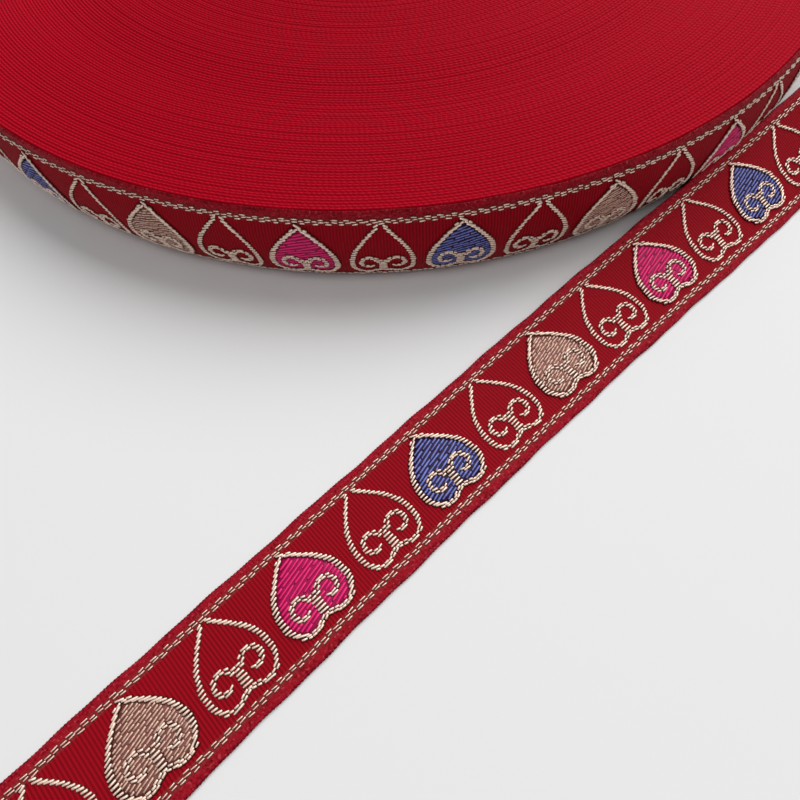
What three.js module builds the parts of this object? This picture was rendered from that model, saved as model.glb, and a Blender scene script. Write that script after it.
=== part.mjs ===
// A roll of woven ribbon lying flat on a surface, with its loose end pulled out beside it.
// Millimetres, +Z up. The wound turns stand on edge, so the roll's axis is vertical and the
// ribbon's width is the roll's height. Seen from above, the loose end runs from its cut end
// past the front right of the roll, bows out, and lands on the roll going counter-clockwise.

import * as THREE from "three";
import { mergeVertices } from "three/addons/utils/BufferGeometryUtils.js";

// Ribbon
const RIBBON_WIDTH = 16;
const SHEET_THICKNESS = 1;
const PIECE_GAP = 0.3;

// Wound roll
const ROLL_RADIUS = 95.2; // outside of the outermost turn, where the loose end lands
const EYE_RADIUS = 9; // small empty eye in the middle, where the winding started
const RIM_ROUND = 0.4; // softened edge of a turn
const LAY_STEP = SHEET_THICKNESS + PIECE_GAP; // step that the outermost turn leaves on the winding
const ROLL_SEGMENTS = 120;
const EDGE_BANDS = 13; // rings of the top face between the eye and the rim
const SIDE_BANDS = 7; // rings of the outside between its base and the rim
// The ribbon is thickest along its hearts, so on the roll its section bows out there and its
// lower edge draws in under it
const BOW = { reach: 1.06, depth: 6.8, fall: 0.038, softTop: 3 };
// The turn edges don't line up exactly: two slow waves across the top face
const EDGE_WAVES = [
  { height: 0.26, length: 27, phase: 0.6 },
  { height: 0.14, length: 16, phase: 2.1 },
];

// Loose end, in plan, measured from the roll's axis
const LANDING_ANGLE = deg(50); // where the loose end lands on the roll
const CUT_END = new THREE.Vector2(-52.9, -186.2); // lower edge of the cut end
const CUT_HEADING = deg(41.75); // direction in which it leaves the cut end
const PASS_HEADING = deg(37.6); // direction in which it has passed the roll's front
const STRAIGHT_RUN = 142.2; // nearly straight stretch from the cut end
const BOW_LEAVE = 121.6; // handle of the bow where it leaves the straight stretch
const BOW_LAND = 97.5; // handle of the bow where it lands on the roll
const TWIST_START = 59.6; // run from the cut end to where the ribbon starts to stand up
const BOW_RUN = 75; // stretch before the landing over which its section takes the roll's bow
const WIDTH_BANDS = 7; // strips across the sheet
const RUN_STEPS = 44; // sections of the straight stretch
const BOW_STEPS = 60; // sections of the bow

function deg(angle) {
  return THREE.MathUtils.degToRad(angle);
}

function direction(angle) {
  return new THREE.Vector2(Math.cos(angle), Math.sin(angle));
}

// Closed body from rings of points: each ring joins the next one, and a capped row of rings
// is shut by strips between the two halves of its first and last ring. Coinciding points are
// merged, and the empty faces that this leaves are dropped.
function loft(rings, { closedAlong }) {
  const count = rings[0].length;
  const last = closedAlong ? rings.length : rings.length - 1;
  const points = rings.flat();
  const faces = [];
  for (let ring = 0; ring < last; ring += 1) {
    const here = ring * count;
    const next = ((ring + 1) % rings.length) * count;
    for (let side = 0; side < count; side += 1) {
      const other = (side + 1) % count;
      faces.push([here + side, next + side, next + other]);
      faces.push([here + side, next + other, here + other]);
    }
  }
  if (!closedAlong) {
    const end = last * count;
    for (let side = 0; side < count / 2 - 1; side += 1) {
      const other = count - 1 - side;
      faces.push([side, side + 1, other - 1]);
      faces.push([side, other - 1, other]);
      faces.push([end + side, end + other - 1, end + side + 1]);
      faces.push([end + side, end + other, end + other - 1]);
    }
  }
  const soup = new THREE.BufferGeometry();
  soup.setAttribute("position", new THREE.Float32BufferAttribute(points.flatMap((p) => p.toArray()), 3));
  soup.setIndex(faces.flat());
  const merged = mergeVertices(soup, 1e-4);
  const index = Array.from(merged.getIndex().array);
  const kept = [];
  for (let at = 0; at < index.length; at += 3) {
    const [a, b, c] = index.slice(at, at + 3);
    if (a !== b && b !== c && c !== a) kept.push(a, b, c);
  }
  merged.setIndex(kept);
  merged.computeVertexNormals();
  return merged;
}

// Height of the turn edges at one radius: the waves die out at the rim and at the eye.
function edgeHeight(radius) {
  const across = (radius - EYE_RADIUS) / (ROLL_RADIUS - EYE_RADIUS);
  const fade = Math.sin(Math.PI * THREE.MathUtils.clamp(across, 0, 1)) ** 0.5;
  const wave = EDGE_WAVES.reduce(
    (sum, { height, length, phase }) => sum + height * Math.sin((2 * Math.PI * radius) / length + phase),
    0,
  );
  return RIBBON_WIDTH + fade * wave;
}

// How far the wound ribbon stands out at one height: a parabola about its thickest place, which
// fades out at the upper edge.
function sideBow(height) {
  const depth = RIBBON_WIDTH - height;
  const fade = THREE.MathUtils.smoothstep(depth, 0, BOW.softTop);
  return fade * (BOW.reach - BOW.fall * (depth - BOW.depth) ** 2);
}

// Half section of the winding, counter-clockwise in (radius, height), for one outer radius.
function rollProfile(outer) {
  const profile = [
    [EYE_RADIUS, RIM_ROUND],
    [EYE_RADIUS + RIM_ROUND, 0],
    [outer + sideBow(0) - RIM_ROUND, 0],
  ];
  for (let band = 0; band <= SIDE_BANDS; band += 1) {
    const height = THREE.MathUtils.lerp(RIM_ROUND, RIBBON_WIDTH - RIM_ROUND, band / SIDE_BANDS);
    profile.push([outer + sideBow(height), height]);
  }
  const crest = outer - RIM_ROUND;
  const inner = EYE_RADIUS + RIM_ROUND;
  for (let band = 0; band <= EDGE_BANDS; band += 1) {
    const radius = THREE.MathUtils.lerp(crest, inner, band / EDGE_BANDS);
    profile.push([radius, edgeHeight(radius)]);
  }
  profile.push([EYE_RADIUS, RIBBON_WIDTH - RIM_ROUND]);
  return profile;
}

// The winding as one body. Its outside is a spiral: it starts at full radius where the loose
// end lands, and has drawn in by one lay when it comes round to that place again.
function woundRoll() {
  const rings = [];
  for (let step = 0; step <= ROLL_SEGMENTS; step += 1) {
    const turned = step / ROLL_SEGMENTS;
    const angle = LANDING_ANGLE + turned * 2 * Math.PI;
    const profile = rollProfile(ROLL_RADIUS - LAY_STEP * turned);
    rings.push(
      profile.map(([radius, z]) => new THREE.Vector3(radius * Math.cos(angle), radius * Math.sin(angle), z)),
    );
  }
  return loft(rings, { closedAlong: true });
}

// Plan of the loose end's lower edge: a nearly straight stretch, then a bow that lands on the
// roll along its tangent. Each is one cubic curve between two headings.
function loosePlan() {
  const between = (CUT_HEADING + PASS_HEADING) / 2;
  const pass = CUT_END.clone().addScaledVector(direction(between), STRAIGHT_RUN);
  const stop = LANDING_ANGLE - PIECE_GAP / ROLL_RADIUS;
  const land = direction(stop).multiplyScalar(ROLL_RADIUS - SHEET_THICKNESS / 2);
  const run = new THREE.CubicBezierCurve(
    CUT_END,
    CUT_END.clone().addScaledVector(direction(CUT_HEADING), STRAIGHT_RUN / 3),
    pass.clone().addScaledVector(direction(PASS_HEADING), -STRAIGHT_RUN / 3),
    pass,
  );
  const bow = new THREE.CubicBezierCurve(
    pass,
    pass.clone().addScaledVector(direction(PASS_HEADING), BOW_LEAVE),
    land.clone().addScaledVector(direction(stop + Math.PI / 2), -BOW_LAND),
    land,
  );
  const stations = [];
  const take = (curve, steps, first) => {
    for (let step = first; step <= steps; step += 1) {
      stations.push({ at: curve.getPointAt(step / steps), along: curve.getTangentAt(step / steps) });
    }
  };
  take(run, RUN_STEPS, 0);
  take(bow, BOW_STEPS, 1);
  return { stations, length: run.getLength() + bow.getLength() };
}

// The loose end as a sheet swept along its plan. Its lower edge stays on the surface, and it
// turns about that edge from lying flat to standing upright against the roll. Towards the
// landing its section takes the bow of the wound ribbon, level with the surface.
function looseEnd() {
  const { stations, length } = loosePlan();
  const rings = [];
  let run = 0;
  stations.forEach(({ at, along }, index) => {
    if (index > 0) run += at.distanceTo(stations[index - 1].at);
    const tilt = (Math.PI / 2) * THREE.MathUtils.smoothstep(run, TWIST_START, length);
    const level = new THREE.Vector3(-along.y, along.x, 0);
    const up = new THREE.Vector3(0, 0, 1);
    const across = level.clone().multiplyScalar(Math.cos(tilt)).addScaledVector(up, Math.sin(tilt));
    const face = level.clone().multiplyScalar(-Math.sin(tilt)).addScaledVector(up, Math.cos(tilt));
    const edge = new THREE.Vector3(at.x, at.y, (SHEET_THICKNESS / 2) * Math.cos(tilt));
    const bowed = THREE.MathUtils.smoothstep(run, length - BOW_RUN, length);
    const corner = (width, side) =>
      edge
        .clone()
        .addScaledVector(across, width)
        .addScaledVector(level, -bowed * sideBow(width))
        .addScaledVector(face, (side * SHEET_THICKNESS) / 2);
    const widths = Array.from({ length: WIDTH_BANDS + 1 }, (_, band) => (band / WIDTH_BANDS) * RIBBON_WIDTH);
    rings.push([
      ...widths.toReversed().map((width) => corner(width, -1)),
      ...widths.map((width) => corner(width, 1)),
    ]);
  });
  return loft(rings, { closedAlong: false });
}

const wovenRed = { color: 0xb01322, roughness: 0.8, metalness: 0 };

function wovenPiece(name, geometry) {
  const piece = new THREE.Mesh(geometry, new THREE.MeshStandardMaterial(wovenRed));
  piece.name = name;
  return piece;
}

const ribbonRoll = new THREE.Group();
ribbonRoll.add(wovenPiece("wound_roll", woundRoll()));
ribbonRoll.add(wovenPiece("loose_end", looseEnd()));

// The origin is under the middle of the whole object, on the surface that it lies on.
const bounds = new THREE.Box3().setFromObject(ribbonRoll);
const middle = bounds.getCenter(new THREE.Vector3());
ribbonRoll.position.set(-middle.x, -middle.y, -bounds.min.z);
ribbonRoll.updateMatrixWorld(true);

export default ribbonRoll;
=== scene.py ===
"""Looks of a roll of woven ribbon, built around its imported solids.

The ribbon is one band with a single plan: its lower edge runs from the cut end past the front
of the roll, bows out, lands on the roll and goes once round it as the outermost turn. Ground,
borders and hearts are all worked out on that band and laid on it by one function. The turns
below it are one spiral surface whose crests are the ribbon's edges.

Lengths in the classes are millimetres, as a weaver gives them, and become metres on the way
into a mesh.
"""

from __future__ import annotations

import logging
import math
from dataclasses import dataclass, field
from enum import Enum

import bpy
import numpy as np
from mathutils import Matrix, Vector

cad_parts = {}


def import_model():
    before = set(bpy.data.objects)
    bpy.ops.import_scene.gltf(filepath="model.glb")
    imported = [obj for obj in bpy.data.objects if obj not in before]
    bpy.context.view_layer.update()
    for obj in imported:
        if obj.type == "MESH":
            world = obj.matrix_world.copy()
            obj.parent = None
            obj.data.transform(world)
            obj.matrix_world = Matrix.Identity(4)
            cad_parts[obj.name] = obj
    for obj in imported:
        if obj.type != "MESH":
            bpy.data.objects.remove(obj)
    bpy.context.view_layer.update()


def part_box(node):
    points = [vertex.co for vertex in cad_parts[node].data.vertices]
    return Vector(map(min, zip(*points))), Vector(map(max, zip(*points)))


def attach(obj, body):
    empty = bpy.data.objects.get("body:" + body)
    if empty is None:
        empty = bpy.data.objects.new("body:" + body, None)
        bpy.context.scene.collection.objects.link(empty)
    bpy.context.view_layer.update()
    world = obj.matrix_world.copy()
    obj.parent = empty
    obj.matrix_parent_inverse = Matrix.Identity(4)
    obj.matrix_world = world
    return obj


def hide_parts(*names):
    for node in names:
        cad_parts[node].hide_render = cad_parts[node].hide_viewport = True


LOG = logging.getLogger("ribbon_roll")
MM = 0.001
BODY = "root"
TAU = 2 * math.pi
SEED = 7


def smoothstep(value: np.ndarray) -> np.ndarray:
    """Eases from 0 to 1 as value goes from 0 to 1: 3 v squared minus 2 v cubed, held outside."""
    held = np.clip(value, 0.0, 1.0)
    return held * held * (3 - 2 * held)


def cubic(start: tuple, leave: tuple, arrive: tuple, end: tuple, steps: int = 60) -> np.ndarray:
    """Points of a cubic Bezier curve.

    Args:
        start: First point.
        leave: Handle of the first point.
        arrive: Handle of the last point.
        end: Last point.
        steps: How many stretches the curve is cut into.

    Returns:
        Array of (steps + 1, 2): (1-u)^3 start + 3(1-u)^2 u leave + 3(1-u)u^2 arrive + u^3 end.
    """
    u = np.linspace(0.0, 1.0, steps + 1)[:, None]
    p0, p1, p2, p3 = (np.asarray(p, float) for p in (start, leave, arrive, end))
    return (1 - u) ** 3 * p0 + 3 * (1 - u) ** 2 * u * p1 + 3 * (1 - u) * u**2 * p2 + u**3 * p3


def direction(angle: float) -> np.ndarray:
    """Unit vector in plan at an angle from +X."""
    return np.array([math.cos(angle), math.sin(angle)])


def wave_sum(waves: tuple, at: np.ndarray) -> np.ndarray:
    """Sum of waves, each given by its height, its length and its phase: h sin(2 pi at / l + p)."""
    return sum(high * np.sin(TAU * at / long + phase) for high, long, phase in waves)


def ring_quads(rings: int, sides: int, turned: bool = False) -> np.ndarray:
    """Quads between neighbouring rings of points, each ring closed on itself.

    Args:
        rings: Number of rings.
        sides: Points in each ring.
        turned: Whether the quads look the other way.

    Returns:
        Array (n, 4): a point, its neighbour, and the same two on the next ring in reverse.
    """
    here = np.arange(rings - 1)[:, None] * sides + np.arange(sides)
    after = np.arange(rings - 1)[:, None] * sides + np.roll(np.arange(sides), -1)
    quads = np.stack([here, after, after + sides, here + sides], axis=-1).reshape(-1, 4)
    return quads[:, [0, 3, 2, 1]] if turned else quads


def copied(faces: list[np.ndarray], copies: int, points: int) -> list[np.ndarray]:
    """Faces of one body once for each of its copies, which have that many points each."""
    first = np.arange(copies)[:, None, None] * points
    return [(part + first).reshape(-1, part.shape[1]) for part in faces]


def put_in_scene(name: str, data: bpy.types.ID) -> bpy.types.Object:
    """New object with its data, in the scene's own collection."""
    made = bpy.data.objects.new(name, data)
    bpy.context.scene.collection.objects.link(made)
    return made


@dataclass
class Shell:
    """Points and faces of a piece while it is put together.

    Attributes:
        points: Array (n, 3) in millimetres.
        faces: Arrays of faces, each with one number of corners.
        rise: For each point, 0 low in the cloth and 1 on the crest of a yarn; the yarn finishes paint
            shade by it.
        corner_uv: For each array of faces, its corners' UV, or None.
        point_uv: UV of each point, used where corner_uv is None.
    """

    points: np.ndarray
    faces: list[np.ndarray]
    rise: np.ndarray | None = None
    corner_uv: list[np.ndarray] | None = None
    point_uv: np.ndarray | None = None

    @staticmethod
    def joined(shells: list[Shell]) -> Shell:
        """One shell from several that have points, faces and rise."""
        counts = np.cumsum([0] + [len(shell.points) for shell in shells])
        faces = [part + first for shell, first in zip(shells, counts) for part in shell.faces]
        points = np.concatenate([shell.points for shell in shells])
        return Shell(points, faces, rise=np.concatenate([shell.rise for shell in shells]))

    def piece(self, name: str, material: bpy.types.Material, slot: str) -> bpy.types.Object:
        """Puts the shell into a mesh object that rides on the roll.

        Args:
            name: Name of the piece.
            material: Its finish.
            slot: Material slot of the record that it takes the finish from; not used.

        Returns:
            The object, at the origin, with its place in its mesh.
        """
        mesh = bpy.data.meshes.new(name)
        mesh.vertices.add(len(self.points))
        mesh.vertices.foreach_set("co", (self.points * MM).astype(np.float32).ravel())
        corners = np.concatenate([part.ravel() for part in self.faces]).astype(np.int32)
        sizes = np.concatenate([np.full(len(part), part.shape[1]) for part in self.faces])
        mesh.loops.add(len(corners))
        mesh.loops.foreach_set("vertex_index", corners)
        mesh.polygons.add(len(sizes))
        starts = np.concatenate([[0], np.cumsum(sizes)[:-1]]).astype(np.int32)
        mesh.polygons.foreach_set("loop_start", starts)
        mesh.polygons.foreach_set("use_smooth", np.ones(len(sizes), bool))
        if self.corner_uv is not None or self.point_uv is not None:
            layer = mesh.uv_layers.new(name="UVMap")
            if self.corner_uv is None:
                uv = self.point_uv[corners]
            else:
                uv = np.concatenate([part.reshape(-1, 2) for part in self.corner_uv])
            layer.data.foreach_set("uv", uv.astype(np.float32).ravel())
        if self.rise is not None:
            rise = mesh.attributes.new("rise", "FLOAT", "POINT")
            rise.data.foreach_set("value", self.rise.astype(np.float32))
        mesh.update(calc_edges=True)
        mesh.validate()
        mesh.materials.append(material)
        made = put_in_scene(name, mesh)
        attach(made, BODY)
        LOG.info("%s: %d points, %d faces", name, len(mesh.vertices), len(mesh.polygons))
        return made


@dataclass
class RibbonBand:
    """The ribbon as a band: its sizes, its plan and the place of any point on it.

    A point is given by its run from the cut end, its depth below the upper edge and its height
    over the middle of the cloth. The band turns about its lower edge from lying flat to
    standing upright, as its run goes from twist_start to the landing.
    """

    roll_axis: np.ndarray
    width: float = 16.0
    thickness: float = 0.5
    solid_thickness: float = 1.0
    solid_gap: float = 0.3
    roll_radius: float = 95.2
    turn_pitch: float = 0.567
    landing_angle: float = math.radians(50)
    cut_end: tuple = (-52.9, -186.2)
    cut_heading: float = math.radians(41.75)
    pass_heading: float = math.radians(37.6)
    straight_run: float = 142.2
    bow_leave: float = 121.6
    bow_land: float = 97.5
    twist_start: float = 59.6
    selvedge: float = 1.25
    selvedge_lean: float = 0.12
    bow_reach: float = 1.06
    bow_depth: float = 6.8
    bow_fall: float = 0.038
    bow_soft_top: float = 3.0
    bow_run: float = 75.0
    plan_steps: int = 3000
    run: np.ndarray = field(init=False)
    plan: np.ndarray = field(init=False)
    heading: np.ndarray = field(init=False)
    loose_length: float = field(init=False)

    def __post_init__(self) -> None:
        """Works out the plan: two cubic curves to the landing, then one turn of the spiral."""
        between = (self.cut_heading + self.pass_heading) / 2
        start = np.array(self.cut_end)
        passing = start + self.straight_run * direction(between)
        stop = self.landing_angle - self.solid_gap / self.roll_radius
        land = self.landing_radius * direction(stop)
        straight = cubic(
            start,
            start + self.straight_run / 3 * direction(self.cut_heading),
            passing - self.straight_run / 3 * direction(self.pass_heading),
            passing,
            self.plan_steps,
        )
        bow = cubic(
            passing,
            passing + self.bow_leave * direction(self.pass_heading),
            land - self.bow_land * direction(stop + math.pi / 2),
            land,
            self.plan_steps,
        )
        turned = np.linspace(0.0, 1.0, self.plan_steps + 1)[1:]
        angle = stop + TAU * turned
        ring = self.turn_radius(turned)[:, None] * np.stack([np.cos(angle), np.sin(angle)], axis=1)
        plan = np.concatenate([straight, bow[1:], ring])
        self.run = np.concatenate([[0.0], np.cumsum(np.hypot(*np.diff(plan, axis=0).T))])
        self.loose_length = float(self.run[2 * self.plan_steps])
        slope = np.gradient(plan, self.run, axis=0)
        self.heading = np.unwrap(np.arctan2(slope[:, 1], slope[:, 0]))
        self.plan = plan + self.roll_axis

    @property
    def landing_radius(self) -> float:
        """Radius of the middle of the cloth where it lands on the roll."""
        return self.roll_radius - self.solid_thickness / 2

    @property
    def full_length(self) -> float:
        """Run from the cut end to the end of the outermost turn."""
        return float(self.run[-1])

    def turn_radius(self, turned: np.ndarray) -> np.ndarray:
        """Radius of the middle of the cloth after that many turns from the landing."""
        return self.landing_radius - self.turn_pitch * np.asarray(turned)

    def run_at(self, angle: float) -> float:
        """Run at an angle round the roll, on the outermost turn."""
        around = (angle - self.landing_angle) % TAU
        whole = self.full_length - self.loose_length
        return self.loose_length + whole * around / TAU

    def bow(self, depth: np.ndarray) -> np.ndarray:
        """How far the wound ribbon stands out at a depth.

        A parabola about the hearts, where the ribbon is thickest, that fades out at the upper
        edge and draws the lower edge in.
        """
        reach = self.bow_reach - self.bow_fall * (depth - self.bow_depth) ** 2
        return smoothstep(depth / self.bow_soft_top) * reach

    def place(self, run: np.ndarray, depth: np.ndarray, height: np.ndarray) -> np.ndarray:
        """Points on the band, in millimetres.

        With heading h and tilt f, the way across the band from its lower edge is
        (-sin h cos f, cos h cos f, sin f) and its face looks along
        (sin h sin f, -cos h sin f, cos f).
        Near the roll and on it the section takes the bow. Where the band stands upright, its
        thinner upper selvedge leans back, as the square of the share of the selvedge above a point.
        Nothing reaches below the surface that the ribbon lies on.

        Args:
            run: Distances from the cut end.
            depth: Distances below the upper edge, of the same shape.
            height: Distances from the middle of the cloth towards the pattern side.

        Returns:
            Array of the same shape with three coordinates added as its last axis.
        """
        x = np.interp(run, self.run, self.plan[:, 0])
        y = np.interp(run, self.run, self.plan[:, 1])
        sin_h, cos_h = (f(np.interp(run, self.run, self.heading)) for f in (np.sin, np.cos))
        share = (run - self.twist_start) / (self.loose_length - self.twist_start)
        tilt = math.pi / 2 * smoothstep(share)
        sin_f, cos_f = np.sin(tilt), np.cos(tilt)
        across = self.width - depth
        above = np.clip(1 - depth / self.selvedge, 0, 1)
        wound = smoothstep(1 - (self.loose_length - run) / self.bow_run)
        height = height - self.selvedge_lean * above**2 * smoothstep(2 * sin_f - 1)
        side = -across * cos_f + height * sin_f + wound * self.bow(depth)
        up = self.thickness / 2 * cos_f + across * sin_f + height * cos_f
        return np.stack([x + side * sin_h, y - side * cos_h, np.maximum(up, 0.0)], axis=-1)


@dataclass(frozen=True)
class Weave:
    """Counts and places of the pattern on the band, in millimetres.

    Attributes:
        first_heart: Run of the axis of the first whole gold heart.
        seen_blue_angle: Angle round the roll of a blue heart's axis, which fixes the pitch.
        hearts_between: Hearts from the first gold heart to that blue one.
        ribs_per_heart: Ribs of the ground in one heart's pitch.
        row_pitch: Distance between two rows of pattern yarn across the band.
    """

    first_heart: float = 33.2
    seen_blue_angle: float = math.radians(-127.6)
    hearts_between: int = 52
    ribs_per_heart: int = 25
    row_pitch: float = 0.52

    def heart_pitch(self, band: RibbonBand) -> float:
        """Distance between the axes of two hearts."""
        return (band.run_at(self.seen_blue_angle) - self.first_heart) / self.hearts_between

    def rib_pitch(self, band: RibbonBand) -> float:
        """Distance between two ribs of the ground."""
        return self.heart_pitch(band) / self.ribs_per_heart


class Fill(Enum):
    """What fills a heart, in the order of the repeat's filled hearts.

    Each has its material slot, the length after which a float is tied down, the distance
    between two floats side by side, their breadth and how far they stray, in millimetres.
    """

    GOLD = ("metallic_thread", 1.0, 0.43, 0.4, 0.16)
    PINK = ("pink_thread", 5.2, 0.53, 0.5, 0.05)
    BLUE = ("blue_thread", 2.6, 0.52, 0.44, 0.06)

    def __init__(self, slot: str, reach: float, pitch: float, breadth: float, stray: float) -> None:
        """Keeps the five values."""
        self.slot = slot
        self.reach = reach
        self.pitch = pitch
        self.breadth = breadth
        self.stray = stray


@dataclass
class Cloth:
    """Ground of one stretch of the band: ribs across the width between two smooth selvedges.

    Attributes:
        wander: Greatest slow wander of an edge.
        wander_waves: Height, length and turn of the two waves of that wander.
        edge_phases: What the turns are multiplied by at the upper and at the lower edge.
        selvedge_rib: Height of a rib at the selvedges as a share of its height between them.
    """

    band: RibbonBand
    weave: Weave
    start: float
    stop: float
    samples_per_rib: int
    rib_height: float = 0.035
    edge_round: float = 0.35
    loop_height: float = 0.045
    wander: float = 0.11
    wander_waves: tuple = ((1.0, 17.3, 1.0), (0.6, 7.1, 2.0))
    edge_phases: tuple = (0.0, 1.7)
    selvedge_rib: float = 0.15
    edge_depths: tuple = (0.0, 0.07, 0.35, 1.15, 1.35, 2.3)
    inner_depths: tuple = (4.6, 6.9, 9.2, 11.5)
    back_depths: tuple = (15.65, 11.5, 6.9, 2.3, 0.35)
    ribbed: tuple = (1.15, 14.85)

    def section(self) -> tuple[np.ndarray, np.ndarray, np.ndarray]:
        """Closed section of the band, front side first.

        Returns:
            Depths, heights and rib heights of its points. The height follows a quarter circle
            within edge_round of each edge and is half the thickness between.
        """
        upper = np.array(self.edge_depths)
        front = np.concatenate([upper, self.inner_depths, self.band.width - upper[::-1]])
        back = np.array(self.back_depths)
        depth = np.concatenate([front, back])
        inset = np.clip(np.minimum(depth, self.band.width - depth) / self.edge_round, 0, 1)
        height = self.band.thickness / 2 * np.sqrt(1 - (1 - inset) ** 2)
        side = np.concatenate([np.ones(len(front)), -np.ones(len(back))])
        inner = (depth > self.ribbed[0]) & (depth < self.ribbed[1]) & (side > 0)
        rib = np.where(inner, self.rib_height, self.selvedge_rib * self.rib_height)
        return depth, side * height, rib * (side > 0)

    def drift(self, run: np.ndarray, phase: float) -> np.ndarray:
        """Slow wander of an edge along the ribbon, from -1 to 1, as a column."""
        waves = tuple((high, long, turn * phase) for high, long, turn in self.wander_waves)
        return wave_sum(waves, run)[:, None] / sum(high for high, _, _ in self.wander_waves)

    def shell(self) -> Shell:
        """Grid of the section carried along the band, with a plain face at each end."""
        pitch = self.weave.rib_pitch(self.band)
        count = int(round((self.stop - self.start) / pitch * self.samples_per_rib)) + 1
        run = np.linspace(self.start, self.stop, count)
        depth, height, rib = self.section()
        wave = np.cos(TAU * run / pitch)[:, None]
        edge = np.where(depth == 0, -1.0, np.where(depth == self.band.width, 1.0, 0.0))
        near = np.clip(1 - np.minimum(depth, self.band.width - depth) / self.ribbed[0], 0, 1)
        upper, lower = (self.drift(run, phase) for phase in self.edge_phases)
        drift = np.where(depth < self.band.width / 2, upper, lower)
        depths = depth + self.loop_height * wave * edge + self.wander * near * drift
        runs = np.broadcast_to(run[:, None], depths.shape)
        points = self.band.place(runs, depths, height + rib * wave)
        sides = len(depth)
        first = np.arange(sides)[::-1][None, :]
        last = (count - 1) * sides + np.arange(sides)[None, :]
        uv = np.stack([runs / pitch, np.broadcast_to(depth / self.band.width, depths.shape)], axis=-1)
        faces = [ring_quads(count, sides), first, last]
        return Shell(points.reshape(-1, 3), faces, point_uv=uv.reshape(-1, 2))


@dataclass(frozen=True)
class Grain:
    """A unit of pattern yarn that lies on the cloth: a closed low body, 2 long, 2 wide, 1 high.

    Attributes:
        points: Along, across and up for each point.
        faces: Arrays of its faces.
    """

    points: np.ndarray
    faces: list[np.ndarray]

    @staticmethod
    def bead() -> Grain:
        """Short float: two sections of a foot and a crest, shut by a low point at each end."""
        ends = [(-1, 0, -0.1), (1, 0, -0.1)]
        section = [(1, -0.3), (0.25, 1), (-0.25, 1), (-1, -0.3)]
        bodies = [(along, across, up) for along in (-0.7, 0.7) for across, up in section]
        quads = [(2 + at, 2 + (at + 1) % 4, 6 + (at + 1) % 4, 6 + at) for at in range(4)]
        triangles = [(0, 2 + (at + 1) % 4, 2 + at) for at in range(4)]
        triangles += [(1, 6 + at, 6 + (at + 1) % 4) for at in range(4)]
        return Grain(np.array(ends + bodies, float), [np.array(quads), np.array(triangles)])

    @staticmethod
    def float_yarn() -> Grain:
        """Long float: four sections of half a hexagon, narrow and low at both ends."""
        along = np.array([-1, -0.8, 0.8, 1])
        wide = np.array([0.4, 1, 1, 0.4])
        high = np.array([0.0, 1, 1, 0.0])
        across = np.array([-1, -0.6, 0, 0.6, 1])
        up = np.array([-0.2, 0.6, 1, 0.6, -0.2])
        grid = np.stack(
            [
                np.repeat(along, len(across)),
                (wide[:, None] * across).ravel(),
                (np.where(up > 0, high[:, None] * up, up)).ravel(),
            ],
            axis=1,
        )
        count = len(across)
        last = (len(along) - 1) * count
        ends = np.array([np.arange(count), last + np.arange(count)[::-1]])
        return Grain(grid, [ring_quads(len(along), count, turned=True), ends])

    def laid(self, band: RibbonBand, spots: Spots, level: float, limits: tuple[float, float]) -> Shell:
        """One body for each spot, joined into a shell.

        A point of the unit body is stretched to the spot's size, turned by its slant in the
        plane of the cloth, moved to the spot and laid on the band.

        Args:
            band: The band that the yarn lies on.
            spots: Where the yarns lie.
            level: Height of the yarns' feet over the middle of the cloth.
            limits: Lowest and highest run, where the cloth is cut.

        Returns:
            The joined shell, with its rise.
        """
        keep = (spots.run + spots.length / 2 > limits[0]) & (spots.run - spots.length / 2 < limits[1])
        spots = spots.where(keep)
        along = self.points[:, 0] * spots.length[:, None] / 2
        across = self.points[:, 1] * spots.width[:, None] / 2
        sin_a, cos_a = np.sin(spots.slant)[:, None], np.cos(spots.slant)[:, None]
        run = np.clip(spots.run[:, None] + along * cos_a - across * sin_a, *limits)
        depth = spots.depth[:, None] - along * sin_a - across * cos_a
        up = level + self.points[:, 2] * spots.height[:, None]
        points = band.place(run, depth, up).reshape(-1, 3)
        rise = np.broadcast_to(np.clip(self.points[:, 2], 0, 1), run.shape).ravel()
        return Shell(points, copied(self.faces, len(spots.run), len(self.points)), rise=rise)


@dataclass(frozen=True)
class Looseness:
    """How far repeated yarns differ: place and slant in themselves, sizes as shares.

    Attributes:
        along: Largest offset along the ribbon, in millimetres.
        across: Largest offset across it, as a share of the one along.
        length: Largest change of the length.
        width: Largest change of the width.
        height: Largest change of the height.
        slant: Largest change of the slant, in radians.
    """

    along: float
    across: float = 0.5
    length: float = 0.12
    width: float = 0.08
    height: float = 0.2
    slant: float = 0.07


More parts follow.
